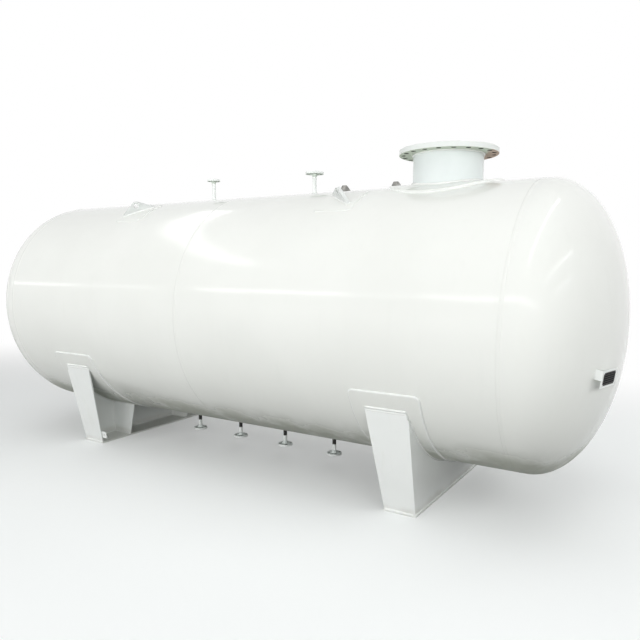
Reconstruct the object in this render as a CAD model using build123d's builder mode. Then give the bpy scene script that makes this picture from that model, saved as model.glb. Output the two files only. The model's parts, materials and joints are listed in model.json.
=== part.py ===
# Horizontal pressure tank on two saddles, in millimetres.
# Origin on the floor under the tank's middle, X along the tank towards the manway,
# Y away from the side seen in the picture, Z up.
import os
from math import cos, degrees, radians, sin, sqrt

from build123d import *

os.makedirs("parts", exist_ok=True)

# Vessel
inner_diameter = 2000
wall = 14
left_course_length = 2159
right_course_length = 2539
straight_flange = 40
head_inner_depth = 500

# Saddles
saddle_height = 250
wear_plate_width = 508
wear_plate_thickness = 10
wear_plate_half_angle = 68
wear_plate_corner = 35
web_face_from_head = 602
web_thickness = 12
web_corner_cut = 60
end_plate_top_angle = 61
end_plate_foot = 730
end_plate_thickness = 12
rib_foot_width = 228
rib_top_width = 308
inner_rib_distance = 390
inner_rib_thickness = 10
base_thickness = 14
base_margin = 6
anchor_spacing = 1180
anchor_hole_diameter = 28
anchor_slot_length = 56

# Manway
manway_from_head = 722
manway_neck_diameter = 508
manway_neck_wall = 12
manway_rise = 249
manway_neck_inside = 50
manway_flange_diameter = 715
manway_flange_thickness = 40
manway_raised_diameter = 610
manway_raised_height = 4
manway_weld_setback = 8
manway_bolt_circle = 650
manway_bolt_count = 20
manway_bolt_hole = 33
manway_pad_diameter = 840
manway_pad_thickness = 14

# Nozzles
nozzle_inside = 8
raised_height = 2
nozzle_bolt_count = 4
small_top_nozzle = {
    "pipe": 33.7, "pipe_wall": 3.2, "flange": 115, "thickness": 18, "bolt_circle": 85,
    "bolt_hole": 14, "hub": 46, "hub_height": 40, "raised": 68, "rise": 192,
}
large_top_nozzle = {
    "pipe": 33.7, "pipe_wall": 3.2, "flange": 150, "thickness": 18, "bolt_circle": 110,
    "bolt_hole": 18, "hub": 52, "hub_height": 42, "raised": 88, "rise": 178,
}
bottom_nozzle = {
    "pipe": 33.7, "pipe_wall": 3.2, "flange": 130, "thickness": 18, "bolt_circle": 95,
    "bolt_hole": 19, "hub": 54, "hub_height": 46, "raised": 70, "rise": 196,
}
small_top_nozzle_before_seam = 464
large_top_nozzle_past_seam = 650
bottom_nozzle_before_seam = 740
bottom_nozzle_pitch = 530
bottom_nozzle_count = 4

# Lifting lugs
lug_left_from_head = 1203
lug_right_from_head = 1353
lug_angle = 27.5
lug_turn = 39
lug_length = 282
lug_thickness = 26
lug_height = 89
lug_end_height = 8
lug_top_width = 30
lug_top_radius = 40
lug_eye_diameter = 40
lug_eye_height = 52
lug_pad_length = 310
lug_pad_arc = 330
lug_pad_thickness = 8
lug_pad_corner = 30

# Earthing lug on the left saddle
earthing_lug_height = 68
earthing_lug_reach = 62
earthing_lug_lap = 22
earthing_lug_thickness = 6
earthing_lug_rise = 40
earthing_hole_diameter = 14

# Nameplate bracket on the right head
bracket_offset = 474
bracket_drop = 217
bracket_standoff = 42
bracket_width = 196
bracket_height = 109
bracket_sheet = 3
bracket_bend = 2.5
bracket_leg_height = 62
bracket_ear_length = 59
bracket_ear_angle = 15.5
bracket_ear_height = 40
bracket_ear_above_foot = 10
nameplate_width = 170
nameplate_height = 88
nameplate_thickness = 1.5

# Clips on the crown
clip_offset = 110
clip_pad_clearance = 2
clip_pitch = 470
clip_length = 98
clip_back_height = 42
clip_top_start = 20
clip_top_length = 37
clip_height = 75
clip_front_height = 26
clip_thickness = 10
clip_foot_width = 50
clip_foot_thickness = 6

# Gap between a part and the hole it is welded into
weld_gap = 0.3

# Sizes that follow
inner_radius = inner_diameter / 2
outer_radius = inner_radius + wall
shell_half = (left_course_length + right_course_length) / 2
seam_x = left_course_length - shell_half
tangent_half = shell_half + straight_flange
head_outer_depth = head_inner_depth + wall
wear_plate_radius = outer_radius + wear_plate_thickness
axis_height = saddle_height + wear_plate_radius
web_face_distance = shell_half - web_face_from_head
manway_distance = shell_half - manway_from_head
small_top_nozzle_x = seam_x - small_top_nozzle_before_seam
large_top_nozzle_x = seam_x + large_top_nozzle_past_seam
tank_axis = Axis((0, 0, axis_height), (1, 0, 0))
cross_section = Plane(origin=(0, 0, axis_height), x_dir=(0, 1, 0), z_dir=(1, 0, 0))
plan_at_axis = Plane.XY.offset(axis_height)


def save(part, name):
    part.label = name
    export_step(part, f"parts/{name}.step")


# Shell courses and the holes that the nozzles pass through
def shell_course(start, stop, top_holes, bottom_holes):
    with BuildPart() as course:
        with BuildSketch(cross_section.offset(start)):
            Circle(outer_radius)
            Circle(inner_radius, mode=Mode.SUBTRACT)
        extrude(amount=stop - start)
        for x, diameter in top_holes:
            with BuildSketch(plan_at_axis):
                with Locations((x, 0)):
                    Circle(diameter / 2 + weld_gap)
            extrude(amount=2 * outer_radius, mode=Mode.SUBTRACT)
        for x, diameter in bottom_holes:
            with BuildSketch(plan_at_axis):
                with Locations((x, 0)):
                    Circle(diameter / 2 + weld_gap)
            extrude(amount=-2 * outer_radius, mode=Mode.SUBTRACT)
    return course.part


top_openings = [
    (small_top_nozzle_x, small_top_nozzle["pipe"]),
    (large_top_nozzle_x, large_top_nozzle["pipe"]),
    (manway_distance, manway_neck_diameter),
]
bottom_nozzle_places = [
    seam_x - bottom_nozzle_before_seam + bottom_nozzle_pitch * i
    for i in range(bottom_nozzle_count)
]
bottom_openings = [(x, bottom_nozzle["pipe"]) for x in bottom_nozzle_places]

for name, start, stop in (("left", -shell_half, seam_x), ("right", seam_x, shell_half)):
    course = shell_course(
        start,
        stop,
        [hole for hole in top_openings if start < hole[0] < stop],
        [hole for hole in bottom_openings if start < hole[0] < stop],
    )
    save(course, f"shell_course_{name}")


# Heads, half ellipses with a straight flange
head_centre = (tangent_half, axis_height)
with BuildPart() as head_right:
    with BuildSketch(Plane.XZ):
        with BuildLine():
            Line((shell_half, axis_height + outer_radius), (tangent_half, axis_height + outer_radius))
            outer_arc = EllipticalCenterArc(
                head_centre, head_outer_depth, outer_radius, start_angle=0, arc_size=90
            )
            inner_arc = EllipticalCenterArc(
                head_centre, head_inner_depth, inner_radius, start_angle=0, arc_size=90
            )
            Line(outer_arc @ 0, inner_arc @ 0)
            Line(inner_arc @ 1, (shell_half, axis_height + inner_radius))
            Line((shell_half, axis_height + inner_radius), (shell_half, axis_height + outer_radius))
        make_face()
    revolve(axis=tank_axis)
save(head_right.part, "head_right")

with BuildPart() as head_left:
    mirror(head_right.part, about=Plane.YZ)
save(head_left.part, "head_left")

# Manway
manway_face = axis_height + outer_radius + manway_rise
manway_flange_under = manway_face - manway_flange_thickness
manway_neck_foot = axis_height + inner_radius - manway_neck_inside
with BuildPart() as manway_neck:
    with BuildSketch(Plane.XY.offset(manway_neck_foot)):
        with Locations((manway_distance, 0)):
            Circle(manway_neck_diameter / 2)
            Circle(manway_neck_diameter / 2 - manway_neck_wall, mode=Mode.SUBTRACT)
    extrude(amount=manway_face - manway_weld_setback - manway_neck_foot)
save(manway_neck.part, "manway_neck")

with BuildPart() as manway_flange:
    with BuildSketch(Plane.XY.offset(manway_flange_under)):
        with Locations((manway_distance, 0)):
            Circle(manway_flange_diameter / 2)
    extrude(amount=manway_flange_thickness - manway_raised_height)
    chamfer(manway_flange.edges().filter_by(GeomType.CIRCLE), 1.5)
    with BuildSketch(Plane.XY.offset(manway_face - manway_raised_height)):
        with Locations((manway_distance, 0)):
            Circle(manway_raised_diameter / 2)
    extrude(amount=manway_raised_height)
    with BuildSketch(Plane.XY.offset(manway_flange_under)):
        with Locations((manway_distance, 0)):
            Circle(manway_neck_diameter / 2 + weld_gap)
            with PolarLocations(
                manway_bolt_circle / 2, manway_bolt_count, start_angle=180 / manway_bolt_count
            ):
                Circle(manway_bolt_hole / 2)
    extrude(amount=manway_flange_thickness, mode=Mode.SUBTRACT)
save(manway_flange.part, "manway_flange")

with BuildPart() as manway_pad:
    with BuildSketch(cross_section.offset(manway_distance - manway_pad_diameter / 2)):
        Circle(outer_radius + manway_pad_thickness)
        Circle(outer_radius, mode=Mode.SUBTRACT)
    extrude(amount=manway_pad_diameter)
    with BuildSketch(plan_at_axis):
        with Locations((manway_distance, 0)):
            Circle(manway_pad_diameter / 2)
            Circle(manway_neck_diameter / 2 + weld_gap, mode=Mode.SUBTRACT)
    extrude(amount=2 * outer_radius, mode=Mode.INTERSECT)
save(manway_pad.part, "manway_pad")


# Nozzles, each a pipe with a weld neck flange; side is 1 upwards and -1 downwards
def nozzle(x, side, size, pipe_name, flange_name):
    stand = Plane(origin=(x, 0, axis_height), x_dir=(1, 0, 0), z_dir=(0, 0, side))
    pipe_radius = size["pipe"] / 2
    bore_radius = pipe_radius - size["pipe_wall"]
    face = outer_radius + size["rise"]
    pipe_start = inner_radius - nozzle_inside
    pipe_end = face - size["hub_height"]
    disc_back = face - size["thickness"]
    with BuildPart() as pipe:
        with BuildSketch(stand.offset(pipe_start)):
            Circle(pipe_radius)
            Circle(bore_radius, mode=Mode.SUBTRACT)
        extrude(amount=pipe_end - pipe_start)
    save(pipe.part, pipe_name)
    with BuildPart() as flange:
        with BuildSketch(stand.offset(pipe_end)):
            Circle(pipe_radius)
        with BuildSketch(stand.offset(disc_back)):
            Circle(size["hub"] / 2)
        loft()
        with BuildSketch(stand.offset(disc_back)):
            Circle(size["flange"] / 2)
        extrude(amount=size["thickness"] - raised_height)
        with BuildSketch(stand.offset(face - raised_height)):
            Circle(size["raised"] / 2)
        extrude(amount=raised_height)
        with BuildSketch(stand.offset(pipe_end)):
            Circle(bore_radius)
        extrude(amount=size["hub_height"], mode=Mode.SUBTRACT)
        with BuildSketch(stand.offset(disc_back)):
            with PolarLocations(
                size["bolt_circle"] / 2, nozzle_bolt_count, start_angle=180 / nozzle_bolt_count
            ):
                Circle(size["bolt_hole"] / 2)
        extrude(amount=size["thickness"], mode=Mode.SUBTRACT)
    save(flange.part, flange_name)


nozzle(small_top_nozzle_x, 1, small_top_nozzle, "top_pipe_left", "top_flange_left")
nozzle(large_top_nozzle_x, 1, large_top_nozzle, "top_pipe_right", "top_flange_right")
for number, x in enumerate(bottom_nozzle_places, start=1):
    nozzle(x, -1, bottom_nozzle, f"bottom_pipe_{number}", f"bottom_flange_{number}")

# Lifting lugs, turned so that the slings meet above the tank's middle
lug_pad_radius = outer_radius + lug_pad_thickness
pad_half_turn = degrees(lug_pad_arc / lug_pad_radius / 2)
lug_left_x = lug_left_from_head - shell_half
lug_right_x = shell_half - lug_right_from_head


def lug_pad(x, side):
    middle = 90 + side * lug_angle
    with BuildPart() as pad:
        with BuildSketch(cross_section.offset(x - lug_pad_length / 2)):
            with BuildLine():
                low = CenterArc((0, 0), outer_radius, middle - pad_half_turn, 2 * pad_half_turn)
                high = CenterArc((0, 0), lug_pad_radius, middle - pad_half_turn, 2 * pad_half_turn)
                Line(low @ 0, high @ 0)
                Line(low @ 1, high @ 1)
            make_face()
        extrude(amount=lug_pad_length)
        corners = pad.edges().filter_by(GeomType.LINE).filter_by(
            lambda edge: abs(edge.length - lug_pad_thickness) < 0.01
        )
        fillet(corners, lug_pad_corner)
    return pad.part


def lug(x, side, towards):
    slope = radians(lug_angle)
    outward = Vector(0, -side * sin(slope), cos(slope))
    around = Vector(0, -side * cos(slope), -sin(slope))
    turn = radians(lug_turn)
    along = Vector(towards * cos(turn), 0, 0) + around * sin(turn)
    foot = Vector(x, 0, axis_height) + outward * lug_pad_radius
    face = Plane(origin=foot, x_dir=along, z_dir=along.cross(outward))
    sink = lug_length
    with BuildPart() as plate:
        with BuildSketch(face):
            Polygon(
                (-lug_length / 2, -sink),
                (lug_length / 2, -sink),
                (lug_length / 2, lug_end_height),
                (lug_top_width / 2, lug_height),
                (-lug_top_width / 2, lug_height),
                (-lug_length / 2, lug_end_height),
                align=None,
            )
            with Locations((0, lug_eye_height)):
                Circle(lug_eye_diameter / 2, mode=Mode.SUBTRACT)
        extrude(amount=lug_thickness / 2, both=True)
        with BuildSketch(cross_section.offset(x - lug_length)):
            Circle(lug_pad_radius)
        extrude(amount=2 * lug_length, mode=Mode.SUBTRACT)
        corners = plate.edges().filter_by(GeomType.LINE).filter_by(
            lambda edge: abs(edge.length - lug_thickness) < 0.01
        )
        fillet(corners.sort_by(Axis.Z)[-2:], lug_top_radius)
    return plate.part


for end, x, towards in (("left", lug_left_x, -1), ("right", lug_right_x, 1)):
    for depth, side in (("near", 1), ("far", -1)):
        save(lug_pad(x, side), f"lug_pad_{end}_{depth}")
        save(lug(x, side, towards), f"lug_{end}_{depth}")

# Saddles; the webs stand at the outer ends and the ribs reach towards the tank's middle
end_plate_top_y = wear_plate_radius * sin(radians(end_plate_top_angle))
end_plate_top_z = axis_height - wear_plate_radius * cos(radians(end_plate_top_angle))
end_plate_rise = end_plate_top_z - base_thickness
end_plate_run = end_plate_top_y - end_plate_foot
end_plate_slope_length = sqrt(end_plate_rise**2 + end_plate_run**2)
web_outer_face = web_face_distance + web_thickness
base_width = rib_foot_width + web_thickness + 2 * base_margin
base_inner_x = web_face_distance - rib_foot_width - base_margin
base_length = 2 * (end_plate_foot + base_margin)
wear_plate_middle = web_face_distance - rib_top_width / 2
web_face = Plane(origin=(web_face_distance, 0, 0), x_dir=(0, 1, 0), z_dir=(1, 0, 0))


def wear_plate():
    with BuildPart() as plate:
        with BuildSketch(cross_section.offset(wear_plate_middle - wear_plate_width / 2)):
            with BuildLine():
                first = -90 - wear_plate_half_angle
                inside = CenterArc((0, 0), outer_radius, first, 2 * wear_plate_half_angle)
                outside = CenterArc((0, 0), wear_plate_radius, first, 2 * wear_plate_half_angle)
                Line(inside @ 0, outside @ 0)
                Line(inside @ 1, outside @ 1)
            make_face()
        extrude(amount=wear_plate_width)
        corners = plate.edges().filter_by(GeomType.LINE).filter_by(
            lambda edge: abs(edge.length - wear_plate_thickness) < 0.01
        )
        fillet(corners, wear_plate_corner)
    return plate.part


def web():
    with BuildPart() as plate:
        with BuildSketch(web_face):
            cut_share = web_corner_cut / end_plate_slope_length
            cut_y = end_plate_top_y - end_plate_run * cut_share
            cut_z = end_plate_top_z - end_plate_rise * cut_share
            inner_y = end_plate_top_y - web_corner_cut
            Polygon(
                (-end_plate_foot, base_thickness),
                (end_plate_foot, base_thickness),
                (cut_y, cut_z),
                (inner_y, cut_z),
                (inner_y, end_plate_top_z),
                (-inner_y, end_plate_top_z),
                (-inner_y, cut_z),
                (-cut_y, cut_z),
                align=None,
            )
            with Locations((0, axis_height)):
                Circle(wear_plate_radius, mode=Mode.SUBTRACT)
        extrude(amount=web_thickness)
    return plate.part


def base_plate(slotted):
    with BuildPart() as plate:
        with BuildSketch(Plane.XY):
            with Locations((base_inner_x + base_width / 2, 0)):
                Rectangle(base_width, base_length)
            with Locations((web_face_distance - rib_foot_width / 2, 0)):
                with GridLocations(0, anchor_spacing, 1, 2):
                    if slotted:
                        SlotOverall(anchor_slot_length, anchor_hole_diameter, mode=Mode.SUBTRACT)
                    else:
                        Circle(anchor_hole_diameter / 2, mode=Mode.SUBTRACT)
        extrude(amount=base_thickness)
    return plate.part


def end_plate(side):
    tilt = Vector(0, side * end_plate_run, end_plate_rise).normalized()
    foot = Vector(web_face_distance, side * end_plate_foot, base_thickness)
    face = Plane(origin=foot, x_dir=(-1, 0, 0), z_dir=Vector(-1, 0, 0).cross(tilt))
    inward = -side * end_plate_thickness
    with BuildPart() as plate:
        with BuildSketch(face):
            Polygon(
                (0, -end_plate_thickness),
                (rib_foot_width, -end_plate_thickness),
                (rib_foot_width, 0),
                (rib_top_width, end_plate_slope_length),
                (0, end_plate_slope_length),
                align=None,
            )
        extrude(amount=inward)
        with BuildSketch(cross_section.offset(web_face_distance - 2 * rib_top_width)):
            Circle(wear_plate_radius)
        extrude(amount=3 * rib_top_width, mode=Mode.SUBTRACT)
        split(bisect_by=Plane.XY.offset(base_thickness), keep=Keep.TOP)
    return plate.part


def inner_rib(side):
    top_z = axis_height - sqrt(wear_plate_radius**2 - inner_rib_distance**2)
    with BuildPart() as plate:
        with BuildSketch(Plane.XZ.offset(-side * inner_rib_distance)):
            Polygon(
                (web_face_distance, base_thickness),
                (web_face_distance, top_z + inner_rib_thickness),
                (web_face_distance - rib_top_width, top_z + inner_rib_thickness),
                (web_face_distance - rib_top_width, top_z),
                (web_face_distance - rib_foot_width, base_thickness),
                align=None,
            )
        extrude(amount=inner_rib_thickness / 2, both=True)
        with BuildSketch(cross_section.offset(web_face_distance - 2 * rib_top_width)):
            Circle(wear_plate_radius)
        extrude(amount=3 * rib_top_width, mode=Mode.SUBTRACT)
    return plate.part


saddle_pieces = {
    "pad": wear_plate(),
    "web": web(),
    "end_near": end_plate(-1),
    "end_far": end_plate(1),
    "rib_near": inner_rib(-1),
    "rib_far": inner_rib(1),
}
for name, piece in saddle_pieces.items():
    save(piece, f"saddle_right_{name}")
    save(mirror(piece, about=Plane.YZ), f"saddle_left_{name}")
save(base_plate(False), "saddle_right_base")
save(mirror(base_plate(True), about=Plane.YZ), "saddle_left_base")

# Earthing lug, lapped on the back of the left saddle's near end plate
lean = Vector(0, -end_plate_run, end_plate_rise).normalized()
lug_foot = Vector(-web_face_distance, -end_plate_foot, base_thickness)
lug_face = Plane(origin=lug_foot, x_dir=(1, 0, 0), z_dir=Vector(1, 0, 0).cross(lean))
lug_low = earthing_lug_rise
lug_high = earthing_lug_rise + earthing_lug_height
plate_edge = rib_foot_width + (rib_top_width - rib_foot_width) * lug_low / end_plate_slope_length
with BuildPart() as earthing_lug:
    with BuildSketch(lug_face.offset(-end_plate_thickness)):
        with Locations((plate_edge - earthing_lug_lap, lug_low)):
            Rectangle(
                earthing_lug_lap + earthing_lug_reach, earthing_lug_height,
                align=(Align.MIN, Align.MIN),
            )
        with Locations((plate_edge + earthing_lug_reach / 2, (lug_low + lug_high) / 2)):
            Circle(earthing_hole_diameter / 2, mode=Mode.SUBTRACT)
    extrude(amount=-earthing_lug_thickness)
save(earthing_lug.part, "earthing_lug")

# Nameplate bracket, a bent sheet that stands off the right head on a leg and a bent ear
bracket_share = sqrt(1 - (bracket_offset**2 + bracket_drop**2) / outer_radius**2)
bracket_foot = Vector(
    tangent_half + head_outer_depth * bracket_share,
    -bracket_offset,
    axis_height - bracket_drop,
)
bracket_outward = Vector(
    bracket_share / head_outer_depth,
    -bracket_offset / outer_radius**2,
    -bracket_drop / outer_radius**2,
).normalized()
bracket_across = Vector(-bracket_outward.Y, bracket_outward.X, 0).normalized()
bracket_face = Plane(
    origin=bracket_foot + bracket_outward * bracket_standoff,
    x_dir=bracket_across,
    z_dir=bracket_outward,
)
ear_root = bracket_width / 2 - bracket_sheet
ear_tip = ear_root + bracket_ear_length * cos(radians(bracket_ear_angle))
ear_back = bracket_ear_length * sin(radians(bracket_ear_angle))
ear_middle = bracket_ear_above_foot + (bracket_ear_height - bracket_height) / 2
leg_middle = (bracket_height - bracket_leg_height) / 2
bracket_ear_plan = Plane(
    origin=bracket_face.origin + bracket_face.y_dir * ear_middle,
    x_dir=bracket_across,
    z_dir=bracket_face.y_dir,
)
with BuildPart() as nameplate_bracket:
    with BuildSketch(bracket_face):
        Rectangle(bracket_width, bracket_height)
    extrude(amount=-bracket_sheet)
    with BuildSketch(bracket_face):
        with Locations(((bracket_sheet - bracket_width) / 2, leg_middle)):
            Rectangle(bracket_sheet, bracket_leg_height)
    extrude(amount=-4 * bracket_standoff)
    with BuildSketch(bracket_ear_plan):
        Polygon(
            (ear_root, 0),
            (ear_tip, ear_back),
            (ear_tip, 4 * bracket_standoff),
            (ear_tip - bracket_sheet, 4 * bracket_standoff),
            (ear_tip - bracket_sheet, ear_back + bracket_sheet),
            (ear_root, bracket_sheet),
            align=None,
        )
    extrude(amount=bracket_ear_height / 2, both=True)
    upright = nameplate_bracket.edges().filter_by(Axis(bracket_face.origin, bracket_face.y_dir))
    across = Axis(bracket_face.origin, bracket_face.x_dir)
    outward = Axis(bracket_face.origin, bracket_face.z_dir)
    bends = [upright.group_by(across)[side].group_by(outward)[-1] for side in (0, -1)]
    fillet(bends[0] + bends[1], bracket_bend)
    with BuildSketch(Plane.XZ):
        with BuildLine():
            head_arc = EllipticalCenterArc(
                head_centre, head_outer_depth, outer_radius, start_angle=0, arc_size=90
            )
            Line(head_arc @ 1, head_centre)
            Line(head_centre, head_arc @ 0)
        make_face()
    revolve(axis=tank_axis, mode=Mode.SUBTRACT)
save(nameplate_bracket.part, "nameplate_bracket")

with BuildPart() as nameplate:
    with BuildSketch(bracket_face):
        Rectangle(nameplate_width, nameplate_height)
    extrude(amount=nameplate_thickness)
save(nameplate.part, "nameplate")


# Clips on the crown, an upright plate with sloping ends on a narrow foot
def crown_clip(x):
    crown_z = axis_height + sqrt(outer_radius**2 - clip_offset**2)
    with BuildPart() as clip:
        with BuildSketch(Plane.XZ.offset(-clip_offset)):
            Polygon(
                (x, axis_height),
                (x + clip_length, axis_height),
                (x + clip_length, crown_z + clip_front_height),
                (x + clip_top_start + clip_top_length, crown_z + clip_height),
                (x + clip_top_start, crown_z + clip_height),
                (x, crown_z + clip_back_height),
                align=None,
            )
        extrude(amount=clip_thickness / 2, both=True)
        with BuildSketch(cross_section.offset(x)):
            with Locations((clip_offset, 0)):
                Rectangle(clip_foot_width, outer_radius, align=(Align.CENTER, Align.MIN))
            Circle(outer_radius + clip_foot_thickness, mode=Mode.INTERSECT)
        extrude(amount=clip_length)
        with BuildSketch(cross_section.offset(x)):
            Circle(outer_radius)
        extrude(amount=clip_length, mode=Mode.SUBTRACT)
    return clip.part


clip_near_edge = clip_offset - clip_foot_width / 2
pad_edge_x = manway_distance - sqrt((manway_pad_diameter / 2) ** 2 - clip_near_edge**2)
clip_right_x = pad_edge_x - clip_pad_clearance - clip_length
save(crown_clip(clip_right_x - clip_pitch), "crown_clip_left")
save(crown_clip(clip_right_x), "crown_clip_right")
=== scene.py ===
import json
from math import asin, atan2, ceil, cos, degrees, pi, radians, sin, sqrt

import bmesh
import bpy
from mathutils import Matrix, Vector, noise


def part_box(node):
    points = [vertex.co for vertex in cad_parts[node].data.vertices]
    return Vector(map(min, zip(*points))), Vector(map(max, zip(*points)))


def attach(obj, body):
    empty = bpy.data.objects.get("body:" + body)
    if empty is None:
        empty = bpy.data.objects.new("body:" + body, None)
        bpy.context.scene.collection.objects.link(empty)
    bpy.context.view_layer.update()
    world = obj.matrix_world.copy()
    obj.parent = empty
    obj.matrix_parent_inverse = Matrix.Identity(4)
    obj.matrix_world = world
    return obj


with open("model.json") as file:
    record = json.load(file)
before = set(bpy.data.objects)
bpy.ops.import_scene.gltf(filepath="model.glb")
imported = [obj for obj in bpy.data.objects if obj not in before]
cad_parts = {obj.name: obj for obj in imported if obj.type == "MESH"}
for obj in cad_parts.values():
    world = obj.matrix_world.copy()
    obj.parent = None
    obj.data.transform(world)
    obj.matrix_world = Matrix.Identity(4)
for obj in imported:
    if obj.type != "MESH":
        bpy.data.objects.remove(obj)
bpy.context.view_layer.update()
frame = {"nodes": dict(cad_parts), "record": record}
print("frame loaded with", len(frame["nodes"]), "nodes")

# Places that every piece shares, in metres
shellLow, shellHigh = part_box("shell_course_left")
shellRadius = (shellHigh.z - shellLow.z) / 2
axisHeight = (shellHigh.z + shellLow.z) / 2
shellStart = shellLow.x
seamX = shellHigh.x
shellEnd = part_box("shell_course_right")[1].x
straightFlange = 0.04
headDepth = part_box("head_right")[1].x - shellEnd - straightFlange
tankAxis = Vector((0, 0, axisHeight))


def axesMatrix(first, second, third, place):  # three directions as columns, then the place
    rows = [(first[i], second[i], third[i], place[i]) for i in range(3)]
    return Matrix((*rows, (0, 0, 0, 1)))


class Signal:  # one socket of a node tree, ready for sums
    def __init__(self, tree, plug=None):
        self.tree = tree
        self.plug = plug

    def node(self, kind, settings=None, inputs=None, output=0):
        made = self.tree.nodes.new(kind)
        for name, value in (settings or {}).items():
            setattr(made, name, value)
        for name, value in (inputs or {}).items():
            if isinstance(value, Signal):
                self.tree.links.new(value.plug, made.inputs[name])
            else:
                made.inputs[name].default_value = value
        return Signal(self.tree, made.outputs[output] if made.outputs else None)

    def sum(self, operation, *values):
        return self.node("ShaderNodeMath", {"operation": operation}, dict(enumerate(values)))

    def __add__(self, other):
        return self.sum("ADD", self, other)

    def __radd__(self, other):
        return self.sum("ADD", other, self)

    def __sub__(self, other):
        return self.sum("SUBTRACT", self, other)

    def __rsub__(self, other):
        return self.sum("SUBTRACT", other, self)

    def __mul__(self, other):
        return self.sum("MULTIPLY", self, other)

    def __pow__(self, other):
        return self.sum("POWER", self, other)


def noiseAt(position, size, detail=2, roughness=0.5, stretch=(1, 1, 1)):
    moved = position.node("ShaderNodeMapping", {}, {"Vector": position, "Scale": stretch})
    return moved.node("ShaderNodeTexNoise", {}, {
        "Vector": moved, "Scale": 1 / size, "Detail": detail, "Roughness": roughness,
    })


def between(value, low, high):  # 0 below low, 1 above high
    return value.node("ShaderNodeMapRange", {"interpolation_type": "SMOOTHSTEP"}, {
        "Value": value, "From Min": low, "From Max": high,
    })


def blendColours(mask, first, second):
    colours = {0: mask}
    for place, tone in ((6, first), (7, second)):
        colours[place] = tone if isinstance(tone, Signal) else (*tone, 1)
    return mask.node("ShaderNodeMix", {"data_type": "RGBA"}, colours, output=2)


def bumpFrom(height, depth, below=None):
    inputs = {"Height": height, "Distance": depth, "Strength": 1.0}
    if below is not None:
        inputs["Normal"] = below
    return height.node("ShaderNodeBump", {}, inputs)


def startMaterial(name):
    material = bpy.data.materials.new(name)
    material.use_nodes = True
    material.node_tree.nodes.clear()
    return material, Signal(material.node_tree)


def startSurface(name):
    material, start = startMaterial(name)
    position = start.node("ShaderNodeTexCoord", {}, {}, output=3)
    return material, start, position


def closeMaterial(start, inputs):
    shader = start.node("ShaderNodeBsdfPrincipled", {}, inputs)
    start.node("ShaderNodeOutputMaterial", {}, {"Surface": shader})


def axes(position):
    return [position.node("ShaderNodeSeparateXYZ", {}, {0: position}, output=i) for i in range(3)]


# colour and roughness of old gloss paint, with run marks, and with dust and painted shade, darker
# and duller where the height is low
def paintTone(position, look, height):
    cloud = noiseAt(position, look["cloudSize"], 3)
    runs = noiseAt(position, look["runSize"], 3, 0.6, look["runStretch"])
    patches = between(noiseAt(position, look["dustAndShadeSize"], 4, 0.6), *look["patchEdges"])
    lowDown = 1 - between(height, look["dustAndShadeLow"], look["dustAndShadeHigh"])
    tone = blendColours(between(cloud, *look["cloudEdges"]), look["colour"], look["shade"])
    runMask = between(runs, *look["runEdges"]) * look["runAmount"]
    tone = blendColours(runMask, tone, look["runColour"])
    # dust and painted shade together: the colour turns darker and duller low down on the piece
    spread = lowDown * (patches * look["dustAndShadePatches"] + look["dustAndShadeEven"])
    dustAndShade = between(spread, look["dustAndShadeFrom"], look["dustAndShadeTo"]) * look["dustAndShadeAmount"]
    tone = blendColours(dustAndShade, tone, look["dustAndShadeColour"])
    roughness = look["roughness"] + cloud * look["roughnessChange"] + dustAndShade * look["dustAndShadeRoughness"]
    return tone, roughness


# slow waves of the plate, the paint's orange peel, and a weld's ripples
def paintRelief(start, position, look):
    surface = bumpFrom(noiseAt(position, look["waveSize"], 1), look["waveDepth"])
    surface = bumpFrom(noiseAt(position, look["peelSize"], 2), look["peelDepth"], surface)
    if look.get("ripple"):
        along = start.node("ShaderNodeAttribute", {"attribute_name": "along"}, {}, output=2)
        ripple = along.sum("SINE", along * (2 * pi))
        surface = bumpFrom(ripple, look["ripple"], surface)
    return surface


def paintMaterial(name, look):
    material, start, position = startSurface(name)
    tone, roughness = paintTone(position, look, axes(position)[2])
    closeMaterial(start, {
        "Base Color": tone, "Roughness": roughness, "IOR": look["ior"],
        "Normal": paintRelief(start, position, look),
    })
    return material


# The other paints start from the tank's
tankPaint = {
    "colour": (0.838, 0.855, 0.822), "shade": (0.815, 0.832, 0.798), "cloudSize": 0.9,
    "cloudEdges": (0.35, 0.65), "runColour": (0.77, 0.79, 0.75), "runSize": 0.08,
    "runStretch": (1, 1, 0.12), "runEdges": (0.56, 0.74), "runAmount": 0.15,
    # the dark dust colour low on the tank is dust and painted shade of its underside together
    "dustAndShadeColour": (0.37, 0.39, 0.325), "dustAndShadeSize": 0.35, "dustAndShadeAmount": 0.8, "dustAndShadeFrom": 0.1,
    "dustAndShadeTo": 1.0, "dustAndShadeLow": 0.30, "dustAndShadeHigh": 0.72, "patchEdges": (0.3, 0.7),
    "dustAndShadePatches": 0.8, "dustAndShadeEven": 0.6, "dustAndShadeRoughness": 0.5, "waveSize": 0.55,
    "waveDepth": 0.0035, "peelSize": 0.006, "peelDepth": 0.00005, "roughness": 0.09,
    "roughnessChange": 0.05, "ior": 1.45,
}
seamPaint = {**tankPaint, "ripple": 0.00012}
manwayPaint = {
    **tankPaint, "colour": (0.78, 0.83, 0.825), "shade": (0.75, 0.80, 0.795), "cloudSize": 0.25,
    "waveSize": 0.2, "waveDepth": 0.0006, "roughness": 0.22, "dustAndShadeAmount": 0.0,
}
nozzlePaint = {
    **manwayPaint, "colour": (0.86, 0.89, 0.87), "shade": (0.82, 0.85, 0.83), "cloudSize": 0.06,
    "waveSize": 0.05, "waveDepth": 0.0003, "runAmount": 0.1,
}
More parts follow.
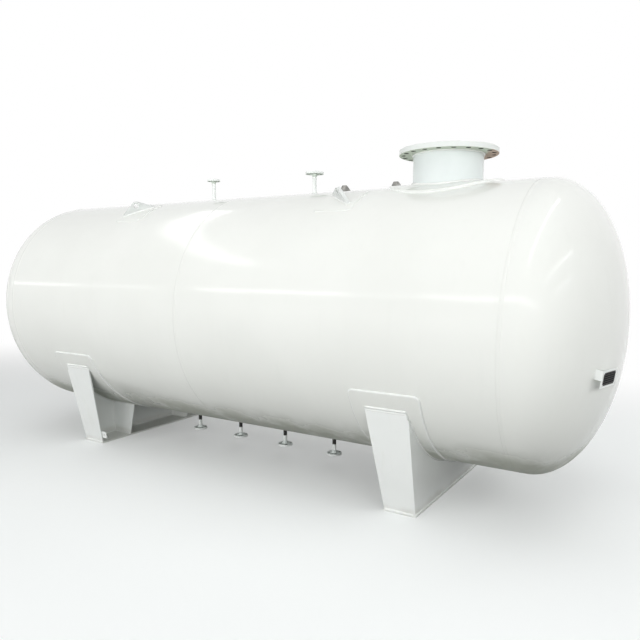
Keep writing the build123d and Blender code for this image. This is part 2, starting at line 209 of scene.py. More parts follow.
# the lugs' paint is a darker copy of the manway's, as painted shade
lugShadePaint = {
    **manwayPaint, "colour": (0.71, 0.735, 0.72), "shade": (0.68, 0.705, 0.69),
    "cloudSize": 0.12, "waveDepth": 0.0004,
}
saddlePaint = {
    **manwayPaint, "colour": (0.865, 0.89, 0.875), "shade": (0.84, 0.865, 0.85),
    "cloudSize": 0.35, "runColour": (0.72, 0.74, 0.70), "runAmount": 0.2,
    # the darker colour at the saddles' foot is dust and painted shade together
    "dustAndShadeColour": (0.50, 0.49, 0.43), "dustAndShadeAmount": 0.35, "dustAndShadeFrom": 0.2, "dustAndShadeTo": 1.0,
    "dustAndShadeLow": 0.0, "dustAndShadeHigh": 0.12, "waveSize": 0.25, "roughness": 0.28,
}
weldPaint = {
    **manwayPaint, "colour": (0.87, 0.885, 0.865), "shade": (0.84, 0.86, 0.84),
    "cloudSize": 0.05, "waveSize": 0.03, "waveDepth": 0.0004, "ripple": 0.00022,
    "peelDepth": 0.00004, "roughness": 0.16,
}


# bare steel seat with turned grooves, bolt holes and bore painted near black as painted shade, the
# back painted darker as painted shade, and a stain on the back
def flangeMaterial(name, look, node, side):
    low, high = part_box(node)
    face = high.z if side > 0 else low.z
    material, start, position = startSurface(name)
    x, y, z = axes(position)
    fromCentre = x - (low.x + high.x) / 2
    radius = (fromCentre ** 2 + y ** 2) ** 0.5
    offFace = z.sum("ABSOLUTE", z - face)
    onFace = 1 - between(offFace, look["seatDepth"], look["seatDepthEnd"])
    onSeat = 1 - between(radius, look["seatRadius"] - look["seatEdge"], look["seatRadius"])
    seat = onFace * onSeat
    share = y.sum("ARCTAN2", y, fromCentre) * (look["holes"] / (2 * pi))
    aside = (share.sum("FRACT", share) - 0.5) * (2 * pi / look["holes"] * look["boltRadius"])
    fromHole = ((radius - look["boltRadius"]) ** 2 + aside ** 2) ** 0.5
    hole = 1 - between(
        fromHole, look["holeRadius"] + look["edgeFrom"], look["holeRadius"] + look["holeEdge"]
    )
    bore = 1 - between(
        radius, look["boreRadius"] + look["edgeFrom"], look["boreRadius"] + look["boreEdge"]
    )
    # the back face, painted darker as painted shade
    back = between(
        offFace, look["thickness"] - look["backFrom"], look["thickness"] - look["backTo"]
    )
    tone, roughness = paintTone(position, look, z)
    tone = blendColours(back, tone, look["backShadeColour"])
    aslant = fromCentre * look["stainWay"][0] + y * look["stainWay"][1]
    ragged = aslant + noiseAt(position, look["stainSize"], 3) * look["stainRagged"]
    stain = between(ragged, look["stainFrom"], look["stainTo"]) * back
    tone = blendColours(stain * look["stainAmount"], tone, look["stainColour"])
    tone = blendColours(seat, tone, look["seatColour"])
    # painted shade: the bolt holes' and the bore's walls painted near black
    tone = blendColours(hole.sum("MAXIMUM", hole, bore), tone, look["darkColour"])
    grooves = radius.sum("SINE", radius * (2 * pi / look["groovePitch"]))
    relief = bumpFrom(grooves * seat, look["grooveDepth"], paintRelief(start, position, look))
    rougher = seat * look["seatRoughness"] + hole * look["holeRoughness"]
    closeMaterial(start, {
        "Base Color": tone, "Roughness": roughness + rougher + back * look["backRoughness"],
        "Metallic": seat * (1 - hole) * look["seatMetal"], "IOR": look["ior"], "Normal": relief,
    })
    return material


flangeBasics = {
    "seatDepth": 0.0008, "seatDepthEnd": 0.0014, "seatEdge": 0.001, "edgeFrom": 0.0004,
    "holeEdge": 0.0016, "boreEdge": 0.0012, "backFrom": 0.0025, "backTo": 0.001,
    "groovePitch": 0.0016, "grooveDepth": 0.00012, "seatRoughness": 0.2, "holeRoughness": 0.4,
    "backRoughness": 0.4, "seatMetal": 0.85, "stainWay": (0.85, 0.53), "stainSize": 0.05,
}
# on the flanges, the back colour and the dark colour in holes and bore are painted shade
nozzleFlange = {
    **nozzlePaint, **flangeBasics, "holes": 4, "thickness": 0.018, "boreRadius": 0.01365,
    "backShadeColour": (0.60, 0.66, 0.60), "seatColour": (0.44, 0.43, 0.41),
    "darkColour": (0.10, 0.11, 0.10), "stainRagged": 0.02, "stainFrom": 0.02, "stainTo": 0.08,
    "stainAmount": 0.0, "stainColour": (0.42, 0.38, 0.33),
}
flangeLooks = {
    "top_flange_left": {
        **nozzleFlange, "seatRadius": 0.034, "boltRadius": 0.0425, "holeRadius": 0.007,
    },
    "top_flange_right": {
        **nozzleFlange, "seatRadius": 0.044, "boltRadius": 0.055, "holeRadius": 0.009,
    },
    "manway_flange": {
        **manwayPaint, **flangeBasics, "colour": (0.80, 0.835, 0.81),
        "shade": (0.77, 0.805, 0.78), "holes": 20, "thickness": 0.04,
        "backShadeColour": (0.60, 0.66, 0.56), "seatColour": (0.50, 0.49, 0.46),
        "darkColour": (0.03, 0.028, 0.025), "seatRadius": 0.305, "boltRadius": 0.325,
        "holeRadius": 0.0165, "boreRadius": 0.2545, "stainRagged": 0.06, "stainFrom": 0.26,
        "stainTo": 0.30, "stainAmount": 0.85, "stainColour": (0.52, 0.36, 0.28),
    },
}
for number in range(1, 5):
    flangeLooks[f"bottom_flange_{number}"] = {
        **nozzleFlange, "seatRadius": 0.035, "boltRadius": 0.0475, "holeRadius": 0.0095,
        "backShadeColour": (0.66, 0.71, 0.69),
    }


# the pipes below the tank are painted dark where they leave the shell, as painted shade under the
# tank's belly
def pipeMaterial(name, look):
    material, start, position = startSurface(name)
    height = axes(position)[2]
    tone, roughness = paintTone(position, look, height)
    ragged = height + noiseAt(position, look["darkSize"], 3) * look["darkRagged"]
    below = 1 - between(height, axisHeight, axisHeight + look["belowEdge"])
    # painted shade: the pipe's upper part near the shell
    darkened = between(ragged, look["darkFrom"], look["darkFrom"] + look["darkEdge"]) * below
    closeMaterial(start, {
        "Base Color": blendColours(darkened, tone, look["darkColour"]),
        "Roughness": roughness + darkened * look["darkRoughness"], "IOR": look["ior"],
        "Normal": paintRelief(start, position, look),
    })
    return material


# the dark colour on these pipes is painted shade under the tank's belly
pipePaint = {
    **nozzlePaint, "darkColour": (0.022, 0.022, 0.02), "darkFrom": 0.158, "darkEdge": 0.012,
    "darkSize": 0.02, "darkRagged": 0.012, "darkRoughness": 0.35, "belowEdge": 0.1,
}

# the bracket's own directions, from its place on the right head
bracket = {"offset": 0.474, "drop": 0.217, "standoff": 0.042, "width": 0.196}
bracketShare = sqrt(1 - (bracket["offset"] ** 2 + bracket["drop"] ** 2) / shellRadius**2)
bracketOut = Vector((
    bracketShare / headDepth,
    -bracket["offset"] / shellRadius**2,
    -bracket["drop"] / shellRadius**2,
)).normalized()
bracketAcross = Vector((-bracketOut.y, bracketOut.x, 0)).normalized()
bracketUp = bracketOut.cross(bracketAcross)
bracketMiddle = Vector((
    shellEnd + straightFlange + headDepth * bracketShare, -bracket["offset"],
    axisHeight - bracket["drop"],
)) + bracketOut * bracket["standoff"]


# black plate with an empty table engraved in it, left without any writing
def plateMaterial(name, look):
    low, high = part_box("nameplate")
    middle = (low + high) / 2
    material, start, position = startSurface(name)
    offset = position.node("ShaderNodeVectorMath", {"operation": "SUBTRACT"}, {
        0: position, 1: tuple(middle),
    })
    across, upward = [
        offset.node(
            "ShaderNodeVectorMath", {"operation": "DOT_PRODUCT"}, {0: offset, 1: tuple(way)},
            output=1,
        )
        for way in (bracketAcross, bracketUp)
    ]
    sideInset = look["halfWidth"] - across.sum("ABSOLUTE", across)
    topInset = look["halfHeight"] - upward.sum("ABSOLUTE", upward)
    inset = sideInset.sum("MINIMUM", sideInset, topInset)
    fromFrame = inset - look["frame"]
    lineEnd = look["line"] * look["lineSoft"]
    frameLine = 1 - between(fromFrame.sum("ABSOLUTE", fromFrame), look["line"], lineEnd)
    inside = between(inset, look["frame"] - look["edge"], look["frame"] + look["edge"])
    row = upward.sum("PINGPONG", upward + look["halfHeight"], look["row"] / 2)
    rowLine = (1 - between(row, look["line"], lineEnd)) * inside
    lines = frameLine.sum("MAXIMUM", frameLine, rowLine)
    scuff = noiseAt(position, look["scuffSize"], 5, 0.65, look["scuffStretch"])
    marks = between(scuff, *look["scuffEdges"]) * look["scuffAmount"]
    tone = blendColours(marks, look["colour"], look["scuffColour"])
    tone = blendColours(lines * look["lineAmount"], tone, look["lineColour"])
    margin = 1 - between(inset, look["margin"] - look["marginEdge"], look["margin"])
    grain = bumpFrom(noiseAt(position, look["grainSize"], 2), look["grainDepth"])
    closeMaterial(start, {
        "Base Color": blendColours(margin, tone, look["marginColour"]),
        "Roughness": look["roughness"] + marks * look["scuffRoughness"], "IOR": look["ior"],
        "Specular IOR Level": look["specular"],
        "Normal": bumpFrom(1 - lines, look["lineDepth"], grain),
    })
    return material


blackPlate = {
    "colour": (0.010, 0.010, 0.011), "scuffColour": (0.07, 0.07, 0.07),
    "lineColour": (0.3, 0.3, 0.29), "scuffSize": 0.02, "scuffStretch": (1, 1, 3),
    "scuffEdges": (0.6, 0.8), "scuffAmount": 0.35, "scuffRoughness": 0.3, "roughness": 0.55,
    "ior": 1.2, "specular": 0.15, "halfWidth": 0.085, "halfHeight": 0.044, "frame": 0.010,
    "edge": 0.0005, "line": 0.0006, "lineSoft": 1.6, "lineAmount": 0.6, "lineDepth": 0.0002,
    "row": 0.0136, "margin": 0.004, "marginEdge": 0.0004, "marginColour": (0.78, 0.79, 0.77),
    "grainSize": 0.004, "grainDepth": 0.00003,
}


# a dark colour on the clips' upper part, tank paint at their foot
def clipMaterial(name, look):
    material, start, position = startSurface(name)
    height = axes(position)[2]
    blotch = noiseAt(position, look["blotchSize"], 4, 0.6)
    ragged = height + blotch * look["darkRagged"]
    darkened = between(ragged, look["darkFrom"], look["darkTo"])
    worn = between(blotch, *look["wornEdges"])
    dark = blendColours(worn, look["darkColour"], look["darkWorn"])
    light = blendColours(worn, look["paint"], look["paintShade"])
    closeMaterial(start, {
        "Base Color": blendColours(darkened, light, dark),
        "Roughness": look["roughness"] + darkened * look["darkRoughness"],
        "Normal": bumpFrom(noiseAt(position, look["grainSize"], 3), look["grainDepth"]),
    })
    return material


crown = axisHeight + shellRadius
clipLook = {
    "darkColour": (0.19, 0.187, 0.178), "darkWorn": (0.40, 0.39, 0.37),
    "paint": (0.80, 0.82, 0.78), "paintShade": (0.72, 0.74, 0.7), "blotchSize": 0.03,
    "wornEdges": (0.4, 0.7), "darkFrom": crown + 0.004, "darkTo": crown + 0.016,
    "darkRagged": 0.02, "roughness": 0.3, "darkRoughness": 0.3, "grainSize": 0.006,
    "grainDepth": 0.0001,
}

finishes = {
    "tank_paint": paintMaterial("tankPaint", tankPaint),
    "manway_paint": paintMaterial("manwayPaint", manwayPaint),
    "nozzle_paint": pipeMaterial("pipePaint", pipePaint),
    "lug_paint": paintMaterial("lugShadePaint", lugShadePaint),
    "saddle_paint": paintMaterial("saddlePaint", saddlePaint),
    "plate_black": plateMaterial("blackPlate", blackPlate),
    "clip_paint": clipMaterial("clipPaint", clipLook),
}
flangeFinishes = {
    name: flangeMaterial(f"paint_{name}", look, name, -1 if "bottom" in name else 1)
    for name, look in flangeLooks.items()
}
weldFinish = paintMaterial("weldPaint", weldPaint)
seamFinish = paintMaterial("seamPaint", seamPaint)
nodeFinishes = {**flangeFinishes, "manway_pad": finishes["tank_paint"]}
nodeSlots = {part["node"]: part["material_slot"] for part in frame["record"]["subparts"]}
for nodeName, slotName in nodeSlots.items():
    node = frame["nodes"][nodeName]
    node.data.materials.clear()
    node.data.materials.append(nodeFinishes.get(nodeName, finishes[slotName]))
print("materials set on", len(nodeSlots), "nodes")


def onShell(x, angle, radius=shellRadius):  # angle in degrees from the crown to the near side
    turn = radians(angle)
    return Vector((x, -radius * sin(turn), axisHeight + radius * cos(turn)))


def fromAxis(point):
    return Vector((0, point.y, point.z - axisHeight)).normalized()


def line(start, end, step=0.02):
    start, end = Vector(start), Vector(end)
    count = max(2, ceil((end - start).length / step))
    return [start.lerp(end, i / count) for i in range(count + 1)]


def arc(x, firstAngle, lastAngle, radius, step=0.02):
    count = max(2, ceil(abs(radians(lastAngle - firstAngle)) * radius / step))
    return [
        onShell(x, firstAngle + (lastAngle - firstAngle) * i / count, radius)
        for i in range(count + 1)
    ]


# a flat loop that ends past its start
def roundedBox(halfLength, halfWidth, corner, step=0.02, cornerSteps=5):
    loop = []
    for quarter in range(4):
        alongX = 1 if quarter in (0, 3) else -1
        alongY = 1 if quarter in (0, 1) else -1
        centre = Vector((alongX * (halfLength - corner), alongY * (halfWidth - corner)))
        for i in range(cornerSteps + 1):
            turn = radians(90 * quarter + 90 / cornerSteps * i)
            loop.append(centre + Vector((cos(turn), sin(turn))) * corner)
    loop += [loop[0], loop[1]]
    fine = [loop[0]]
    for nextPoint in loop[1:]:
        last = fine[-1]
        count = max(1, ceil((nextPoint - last).length / step))
        fine += [last.lerp(nextPoint, (i + 1) / count) for i in range(count)]
    return fine


def wrapped(flat, x, angle, radius):  # a flat loop laid on the shell
    return [onShell(x + p.x, angle + degrees(p.y / radius), radius) for p in flat]


ringExtra = 3  # points by which a ring's path goes on past its start


def ringOnShell(x, side, pipeRadius, radius, count):  # round a pipe where it meets the shell
    loop = []
    for i in range(count + ringExtra):
        turn = 2 * pi * i / count
        y = pipeRadius * sin(turn)
        height = axisHeight + side * sqrt(radius**2 - y**2)
        loop.append(Vector((x + pipeRadius * cos(turn), y, height)))
    return loop


def flatRing(x, z, pipeRadius, count):
    return [
        Vector((x + pipeRadius * cos(2 * pi * i / count), pipeRadius * sin(2 * pi * i / count), z))
        for i in range(count + ringExtra)
    ]


beadLook = {
    "sides": 8, "bumps": 22, "seedStep": 7.3, "seedDepth": 0.5, "endShare": 0.6,
    "ripplePitch": 0.006,
}
beadCount = 0


# a round bead swept along the path, width and height being its half sizes
def addBead(group, path, width, height=None, outward=fromAxis, wobble=0.08):
    global beadCount
    beadCount += 1
    height = height or width
    bead = bmesh.new()
    travel = bead.verts.layers.float.new("along")
    ring = bmesh.ops.create_circle(bead, segments=beadLook["sides"], radius=1)["verts"]
    loop = list(bead.edges)
    last = Matrix.Identity(4)
    length = 0
    for i, point in enumerate(path):
        before, after = path[max(i - 1, 0)], path[min(i + 1, len(path) - 1)]
        forward = (after - before).normalized()
        up = outward(point) if callable(outward) else Vector(outward)
        across = forward.cross(up).normalized()
        up = across.cross(forward)
        length += (point - before).length
        seedPlace = beadCount * beadLook["seedStep"], beadLook["seedDepth"]
        swell = 1 + wobble * noise.noise(Vector((length * beadLook["bumps"], *seedPlace)))
        if i in (0, len(path) - 1):
            swell *= beadLook["endShare"]
        wide = [part * width * swell for part in across]
        tall = [part * height * swell for part in up]
        place = axesMatrix(wide, tall, forward, point)
        if i:
            made = bmesh.ops.extrude_edge_only(bead, edges=loop)["geom"]
            ring = [part for part in made if isinstance(part, bmesh.types.BMVert)]
            fresh = set(ring)
            loop = [
                part for part in made
                if isinstance(part, bmesh.types.BMEdge) and fresh.issuperset(part.verts)
            ]
        else:
            firstLoop = list(loop)
        bmesh.ops.transform(bead, matrix=place @ last.inverted(), verts=ring)
        for vert in ring:
            vert[travel] = length / beadLook["ripplePitch"]
        last = place
    for end in (firstLoop, loop):
        bmesh.ops.edgeloop_fill(bead, edges=end)
    bmesh.ops.recalc_face_normals(bead, faces=bead.faces)
    spare = bpy.data.meshes.new("spare")
    bead.to_mesh(spare)
    bead.free()
    group.from_mesh(spare)
    bpy.data.meshes.remove(spare)


def finishPiece(name, mesh, material):
    data = bpy.data.meshes.new(name)
    mesh.to_mesh(data)
    mesh.free()
    data.materials.append(material)
    data.polygons.foreach_set("use_smooth", [True] * len(data.polygons))
    piece = bpy.data.objects.new(name, data)
    bpy.context.scene.collection.objects.link(piece)
    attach(piece, "root")


# the ground flat seams round the tank, as a low swell with its edges sunk in the shell
girthSeam = {
    "width": 0.022, "height": 0.0008, "lift": 0.0001, "sink": 0.002, "columns": 6, "steps": 360,
    "ripplePitch": 0.008, "bumps": 14, "wander": 0.0010,
}


def makeGirthSeam(name, x, seed):
    mesh = bmesh.new()
    travel = mesh.verts.layers.float.new("along")
    half = girthSeam["width"] / 2
    profile = []
    for i in range(girthSeam["columns"] + 1):
        offset = -half + girthSeam["width"] * i / girthSeam["columns"]
        rise = girthSeam["height"] * (1 - (offset / half) ** 2) ** 2 + girthSeam["lift"]
        profile.append((x + offset, shellRadius + rise))
    sunk = shellRadius - girthSeam["sink"]
    profile += [(x + half, sunk), (x - half, sunk)]
    verts = [mesh.verts.new((place, 0, axisHeight + radius)) for place, radius in profile]
    for i in range(len(verts)):
        mesh.edges.new((verts[i], verts[(i + 1) % len(verts)]))
    bmesh.ops.spin(
        mesh, geom=verts + list(mesh.edges), cent=tankAxis, axis=(1, 0, 0), angle=2 * pi,
        steps=girthSeam["steps"], use_merge=True,
    )
    bumps = girthSeam["bumps"]
    for vert in mesh.verts:
        turn = atan2(vert.co.y, vert.co.z - axisHeight)
        vert[travel] = turn * shellRadius / girthSeam["ripplePitch"]
        drift = noise.noise(Vector((sin(turn) * bumps, cos(turn) * bumps, seed)))
        vert.co.x += drift * girthSeam["wander"]
    bmesh.ops.recalc_face_normals(mesh, faces=mesh.faces)
    finishPiece(name, mesh, seamFinish)


makeGirthSeam("seam_left_head", shellStart, 1.0)
makeGirthSeam("seam_middle", seamX, 2.0)
makeGirthSeam("seam_right_head", shellEnd, 3.0)

longSeams = {"left": -52, "right": -38, "width": 0.009, "height": 0.0022, "wobble": 0.15}
mesh = bmesh.new()
for start, end, angle in (
    (shellStart, seamX, longSeams["left"]), (seamX, shellEnd, longSeams["right"])
):
    path = line(onShell(start, angle), onShell(end, angle))
    addBead(
        mesh, path, longSeams["width"], longSeams["height"], wobble=longSeams["wobble"]
    )
finishPiece("seams_along", mesh, weldFinish)
print("shell seams made")

manwaySizes = {
    "neckRadius": 0.254, "padTop": 1.028, "padRadius": 0.42, "padFoot": 1.014,
    "topRadius": 0.250, "topDrop": 0.008, "neckSteps": 120, "padSteps": 160,
}
manwayWelds = {"neck": 0.012, "pad": 0.010, "flange": 0.009, "top": 0.005}


def manwayBeads(size, welds):
    neckLow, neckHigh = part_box("manway_neck")
    flangeLow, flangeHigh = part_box("manway_flange")
    x = (neckLow.x + neckHigh.x) / 2
    mesh = bmesh.new()
    neckFoot = ringOnShell(x, 1, size["neckRadius"], size["padTop"], size["neckSteps"])
    padEdge = ringOnShell(x, 1, size["padRadius"], size["padFoot"], size["padSteps"])
    below = flatRing(x, flangeLow.z, size["neckRadius"], size["neckSteps"])
    above = flatRing(x, flangeHigh.z - size["topDrop"], size["topRadius"], size["neckSteps"])
    addBead(mesh, neckFoot, welds["neck"])
    addBead(mesh, padEdge, welds["pad"])
    addBead(mesh, below, welds["flange"], outward=(0, 0, -1))
    addBead(mesh, above, welds["top"], outward=(0, 0, 1))
    finishPiece("manway_welds", mesh, weldFinish)


manwayBeads(manwaySizes, manwayWelds)

nozzleWelds = {"shell": 0.009, "hub": 0.0025, "clear": 0.001, "steps": 36}
nozzles = [("top_pipe_left", 1), ("top_pipe_right", 1)]
nozzles += [(f"bottom_pipe_{i}", -1) for i in range(1, 5)]
mesh = bmesh.new()
for pipeName, side in nozzles:
    pipeLow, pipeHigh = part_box(pipeName)
    centre = (pipeLow.x + pipeHigh.x) / 2
    radius = (pipeHigh.x - pipeLow.x) / 2
    joint = pipeHigh.z if side > 0 else pipeLow.z
    steps = nozzleWelds["steps"]
    foot = ringOnShell(centre, side, radius + nozzleWelds["clear"], shellRadius, steps)
    addBead(mesh, foot, nozzleWelds["shell"])
    hub = flatRing(centre, joint, radius, steps)
    addBead(mesh, hub, nozzleWelds["hub"], outward=(0, 0, side))
finishPiece("nozzle_welds", mesh, weldFinish)
print("manway and nozzle welds made")

lugSizes = {
    "angle": 27.5, "turn": 39, "halfLength": 0.141, "halfThickness": 0.013, "corner": 0.003,
    "padRadius": 1.022, "padHalfArc": 0.165, "padCorner": 0.030, "padFoot": 1.015,
}
lugWelds = {"foot": 0.009, "pad": 0.0045}


def lugFoot(x, side, towards):  # the lug's turned outline, dropped along its height onto the pad
    slope, turn = radians(lugSizes["angle"]), radians(lugSizes["turn"])
    outward = Vector((0, -side * sin(slope), cos(slope)))
    around = Vector((0, -side * cos(slope), -sin(slope)))
    along = Vector((towards * cos(turn), 0, 0)) + around * sin(turn)
    across = along.cross(outward)
    loop = []
    for flat in roundedBox(lugSizes["halfLength"], lugSizes["halfThickness"], lugSizes["corner"]):
        point = Vector((x, 0, axisHeight)) + along * flat.x + across * flat.y
        level = Vector((point.y, point.z - axisHeight))
        lift = Vector((outward.y, outward.z))
        dot = level.dot(lift)
        reach = -dot + sqrt(dot**2 + lugSizes["padRadius"] ** 2 - level.length_squared)
        loop.append(point + outward * reach)
    return loop


for end, towards in (("left", -1), ("right", 1)):
    for depth, side in (("near", 1), ("far", -1)):
        padLow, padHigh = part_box(f"lug_pad_{end}_{depth}")
        x = (padLow.x + padHigh.x) / 2
        halfPad = (padHigh.x - padLow.x) / 2
        mesh = bmesh.new()
        addBead(mesh, lugFoot(x, side, towards), lugWelds["foot"])
        outline = roundedBox(halfPad, lugSizes["padHalfArc"], lugSizes["padCorner"])
        padEdge = wrapped(outline, x, side * lugSizes["angle"], lugSizes["padFoot"])
        addBead(mesh, padEdge, lugWelds["pad"])
        finishPiece(f"lug_welds_{end}_{depth}", mesh, weldFinish)
print("lug welds made")

saddleSizes = {
    "webFace": 1.747, "web": 0.012, "padMiddle": 1.593, "padHalf": 0.254, "padAngle": 68,
    "padCorner": 0.035, "padRadius": 1.024, "padLift": 0.001, "base": 0.014, "foot": 0.730,
    "ribFoot": 0.228, "ribTop": 0.308, "ribPlace": 0.390, "ribHalf": 0.005, "topAngle": 61,
    "endPlate": 0.012, "webCorner": 0.060, "topShort": 0.01,
}
saddleWelds = {"pad": 0.010, "plate": 0.009, "rib": 0.007}


def saddleBeads(name, hand):
    size = saddleSizes
    mesh = bmesh.new()

    def bead(points, width, outward=fromAxis):
        addBead(mesh, [Vector((hand * p.x, p.y, p.z)) for p in points], width, outward=outward)

    halfArc = radians(size["padAngle"]) * shellRadius
    outline = roundedBox(size["padHalf"], halfArc, size["padCorner"])
    padFoot = shellRadius + size["padLift"]
    bead(wrapped(outline, size["padMiddle"], 180, padFoot), saddleWelds["pad"])
    inner, outer = size["webFace"], size["webFace"] + size["web"]
    topY = size["padRadius"] * sin(radians(size["topAngle"]))
    topZ = axisHeight - size["padRadius"] * cos(radians(size["topAngle"]))
    webAngle = degrees(asin((topY - size["webCorner"]) / size["padRadius"]))
    for x in (inner, outer):
        bead(arc(x, 180 - webAngle, 180 + webAngle, size["padRadius"]), saddleWelds["plate"])
        webFoot = line((x, -size["foot"], size["base"]), (x, size["foot"], size["base"]))
        bead(webFoot, saddleWelds["plate"], (0, 0, 1))
    rise, run = topZ - size["base"], topY - size["foot"]
    slopeLength = sqrt(rise**2 + run**2)
    for side in (-1, 1):
        # the end plate, on both of its faces, then its corner with the web
        lean = Vector((0, side * run, rise)) / slopeLength
        inward = Vector((0, -side * rise, run)) / slopeLength * size["endPlate"]
        foot = Vector((0, side * size["foot"], size["base"]))
        for offset in (Vector((0, 0, 0)), inward):
            y, z = foot.y + offset.y, size["base"]
            bead(line((inner, y, z), (inner - size["ribFoot"], y, z)),
                 saddleWelds["plate"], (0, 0, 1))
            top = foot + offset + lean * slopeLength
            topAngle = 180 + degrees(asin(top.y / size["padRadius"]))
            y, z = onShell(0, topAngle, size["padRadius"]).yz
            bead(line((inner, y, z), (inner - size["ribTop"], y, z)), saddleWelds["plate"])
        start = foot + inward
        end = foot + inward + lean * slopeLength
        corner = line((inner, start.y, start.z), (inner, end.y, end.z - size["topShort"]))
        bead(corner, saddleWelds["rib"], (0, side, 0))
        # the inner rib, on both of its faces
        for offset in (-size["ribHalf"], size["ribHalf"]):
            y = side * size["ribPlace"] + offset
            z = axisHeight - sqrt(size["padRadius"] ** 2 - y**2)
            bead(line((inner, y, size["base"]), (inner, y, z)), saddleWelds["rib"], (0, 1, 0))
            bead(line((inner, y, size["base"]), (inner - size["ribFoot"], y, size["base"])),
                 saddleWelds["rib"], (0, 0, 1))
            bead(line((inner, y, z), (inner - size["ribTop"], y, z)), saddleWelds["rib"])
    finishPiece(name, mesh, weldFinish)


saddleBeads("saddle_welds_right", 1)
saddleBeads("saddle_welds_left", -1)
print("saddle welds made")


def onHead(across, upward):  # the point of the right head behind a point of the bracket
    point = bracketMiddle + bracketAcross * across + bracketUp * upward
    scale = Vector((1 / headDepth, 1 / shellRadius, 1 / shellRadius))
    start = (point - Vector((shellEnd + straightFlange, 0, axisHeight))) * scale
    way = bracketOut * scale
    half = start.dot(way)
    reach = (-half + sqrt(half**2 - way.dot(way) * (start.dot(start) - 1))) / way.dot(way)
    return point + bracketOut * reach


bracketFeet = {"sheet": 0.003, "bead": 0.004, "earTip": 0.1515}
footSpans = {"leg": (-0.0075, 0.0545, 6), "ear": (-0.0445, -0.0045, 4)}
legEdge = -bracket["width"] / 2
mesh = bmesh.new()
for spanName, edges in (
    ("leg", (legEdge, legEdge + bracketFeet["sheet"])),
    ("ear", (bracketFeet["earTip"], bracketFeet["earTip"] - bracketFeet["sheet"])),
):
    low, high, count = footSpans[spanName]
    for across in edges:
        path = [onHead(across, low + (high - low) * i / count) for i in range(count + 1)]
        addBead(mesh, path, bracketFeet["bead"], outward=bracketOut)
finishPiece("bracket_welds", mesh, weldFinish)

clipFoot = {"corner": 0.002, "lift": 0.001, "bead": 0.0045}
for end in ("left", "right"):
    clipLow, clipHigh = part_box(f"crown_clip_{end}")
    x, y = (clipLow.x + clipHigh.x) / 2, (clipLow.y + clipHigh.y) / 2
    halfX, halfY = (clipHigh.x - clipLow.x) / 2, (clipHigh.y - clipLow.y) / 2
    angle = -degrees(asin(y / shellRadius))
    outline = roundedBox(halfX, halfY, clipFoot["corner"])
    mesh = bmesh.new()
    path = wrapped(outline, x, angle, shellRadius + clipFoot["lift"])
    addBead(mesh, path, clipFoot["bead"])
    finishPiece(f"clip_welds_{end}", mesh, weldFinish)

rivet = {
    "radius": 0.0042, "height": 0.002, "inset": 0.007, "plate": 0.0015, "segments": 20,
    "rings": 12,
}
mesh = bmesh.new()
for across in (-1, 1):
    for upward in (-1, 1):
        place = (
            bracketMiddle + bracketOut * rivet["plate"]
            + bracketAcross * across * (blackPlate["halfWidth"] - rivet["inset"])
            + bracketUp * upward * (blackPlate["halfHeight"] - rivet["inset"])
        )
        dome = bmesh.ops.create_uvsphere(
            mesh, u_segments=rivet["segments"], v_segments=rivet["rings"],
            radius=rivet["radius"],
        )["verts"]
        bmesh.ops.scale(mesh, vec=(1, 1, rivet["height"] / rivet["radius"]), verts=dome)
        turned = axesMatrix(bracketAcross, bracketUp, bracketOut, place)
        bmesh.ops.transform(mesh, matrix=turned, verts=dome)
finishPiece("nameplate_rivets", mesh, finishes["saddle_paint"])
print("small welds and rivets made")

# Studio
studio = {
    "floorSeen": (0.955, 0.985, 0.98), "floorBounce": (0.16, 0.165, 0.155), "floorGlow": 0.22,
    "floorRoughness": 0.9, "floorSpecular": 0.1, "floorReach": 60, "whiteFrom": 2.4,
    "whiteTo": 6.2, "whiteShareX": 0.55, "worldStrength": 0.21,
}


def seenDirectly(start):  # 1 for rays that show the background, 0 for light that falls on the tank
    camera, glossy, through = [
        start.node("ShaderNodeLightPath", {}, {}, output=i) for i in (0, 3, 6)
    ]
    return camera.sum("MAXIMUM", camera.sum("MAXIMUM", camera, glossy), through)


# the floor keeps the shadow near the tank and turns to plain white further out
floorMaterial, start = startMaterial("studioFloor")
seen = seenDirectly(start)
x, y, z = axes(start.node("ShaderNodeTexCoord", {}, {}, output=3))
away = ((x * studio["whiteShareX"]) ** 2 + y ** 2) ** 0.5
white = between(away, studio["whiteFrom"], studio["whiteTo"])
matt = start.node("ShaderNodeBsdfPrincipled", {}, {
    "Base Color": blendColours(seen, studio["floorBounce"], studio["floorSeen"]),
    "Roughness": studio["floorRoughness"],
    "Specular IOR Level": studio["floorSpecular"],
})
glow = start.node("ShaderNodeEmission", {}, {"Color": (1, 1, 1, 1), "Strength": 1.0})
floorShader = start.node("ShaderNodeMixShader", {}, {
    0: seen * (studio["floorGlow"] + white * (1 - studio["floorGlow"])), 1: matt, 2: glow,
})
start.node("ShaderNodeOutputMaterial", {}, {"Surface": floorShader})
floorMesh = bmesh.new()
bmesh.ops.create_grid(floorMesh, x_segments=1, y_segments=1, size=studio["floorReach"])
floorData = bpy.data.meshes.new("studio_floor")
floorMesh.to_mesh(floorData)
floorMesh.free()
floorData.materials.append(floorMaterial)
floor = bpy.data.objects.new("studio_floor", floorData)
bpy.context.scene.collection.objects.link(floor)

world = bpy.data.worlds.new("studio")
bpy.context.scene.world = world
world.use_nodes = True
world.node_tree.nodes.clear()
start = Signal(world.node_tree)
background = start.node("ShaderNodeBackground", {}, {
    "Color": (1, 1, 1, 1),
    "Strength": studio["worldStrength"] + seenDirectly(start) * (1 - studio["worldStrength"]),
})
start.node("ShaderNodeOutputWorld", {}, {"Surface": background})


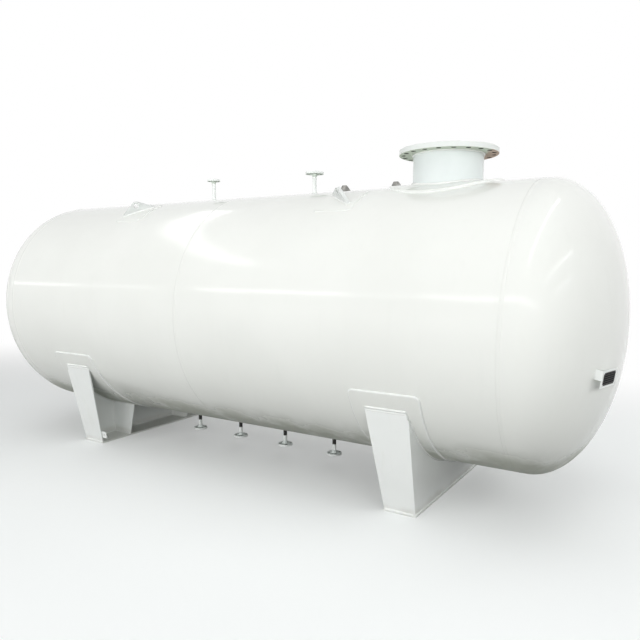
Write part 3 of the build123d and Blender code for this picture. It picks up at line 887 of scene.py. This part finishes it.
def addLamp(name, place, aim, size, radiance, up=(0, 0, 1), shines=True):
    data = bpy.data.lights.new(name, "AREA")
    data.shape = "RECTANGLE"
    data.size, data.size_y = size
    data.energy = pi * radiance * size[0] * size[1]
    lamp = bpy.data.objects.new(name, data)
    forward = (Vector(aim) - Vector(place)).normalized()
    sideways = forward.cross(Vector(up)).normalized()
    upright = sideways.cross(forward)
    lamp.matrix_world = axesMatrix(sideways, upright, -forward, place)
    lamp.visible_camera = False
    lamp.visible_glossy = shines
    lamp.visible_diffuse = not shines
    bpy.context.scene.collection.objects.link(lamp)


# lamps that light the tank and don't show in its gloss: place, aim, size and level
softLamps = {
    "low_front": ((-1, -9, 1.4), (0, 0, 1.2), (14, 2.2), 3.65),
    "middle_front": ((-1, -9, 2.6), (0, 0, 1.2), (14, 1.5), 4.0),
    "right_front": ((8, -6.5, 3.5), (1.5, 0, 1.3), (5, 4), 3.2),
    "right_end": ((9.5, 1.0, 4.0), (2, 0, 1.3), (5, 4), 3.4),
    "overhead": ((3, -6, 7.5), (0.5, 0, 1.3), (9, 4), 0.64),
    "overhead_far": ((0, -0.5, 7.5), (0, -0.4, 0), (9, 6), 1.05),
    "back": ((4, 6.5, 5.5), (0.5, 0, 2.4), (5, 3), 1.6),
    "back_left": ((-3.5, 7.5, 3.2), (-0.5, 0, 1.2), (7, 3.5), 2.8),
}
for name, lampValues in softLamps.items():
    addLamp(name, *lampValues, shines=False)

# bright strips that only show in the gloss: one long row on the wall, four across the roof
wallRow = {"y": -9, "z": 5.35, "height": 0.42, "level": 4.0, "aimHeight": 2.75}
wallParts = (  # start, end and share of the level
    (-17.4, -14.0, 1.0), (-14.0, -11.4, 0.3), (-11.4, -10.1, 0.8), (-8.6, -3.87, 1.1),
    (-3.87, -1.8, 0.4), (-1.8, 12.0, 1.2),
)
for number, (stripStart, stripEnd, share) in enumerate(wallParts):
    middle = (stripStart + stripEnd) / 2
    addLamp(
        f"wall_strip_{number}", (middle, wallRow["y"], wallRow["z"]),
        (middle, 0, wallRow["aimHeight"]), (stripEnd - stripStart, wallRow["height"]),
        wallRow["level"] * share,
    )
roof = {"y": -1.5, "z": 9, "length": 11, "aimShare": 0.3}
roofStrips = {  # place along the tank, width and level
    "roof_left": (-7.4, 0.75, 2.7),
    "roof_right": (4.9, 0.3, 6.0),
    "roof_far": (14.0, 0.35, 6.0),
    "roof_farther": (23.0, 0.5, 5.0),
}
for name, (x, width, level) in roofStrips.items():
    addLamp(
        name, (x, roof["y"], roof["z"]), (x * roof["aimShare"], roof["y"], 0),
        (roof["length"], width), level, up=(1, 0, 0),
    )
print("studio lit")

# Camera, matched to the photo's
view = {
    "place": (3.32077, -4.36816, 1.72779), "lens": 34.007, "sensor": 36, "shiftX": -0.0169,
    "shiftY": 0.075, "right": (0.8505598, 0.5258742, 0.0021013),
    "up": (-0.0922393, 0.1452535, 0.9850854), "back": (0.5177258, -0.8380679, 0.1720530),
}
cameraData = bpy.data.cameras.new("camera")
cameraData.lens = view["lens"]
cameraData.sensor_width = view["sensor"]
cameraData.shift_x, cameraData.shift_y = view["shiftX"], view["shiftY"]
camera = bpy.data.objects.new("camera", cameraData)
bpy.context.scene.collection.objects.link(camera)
camera.matrix_world = axesMatrix(view["right"], view["up"], view["back"], view["place"])
bpy.context.scene.camera = camera
bpy.context.scene.view_settings.view_transform = "Standard"
print("camera set")
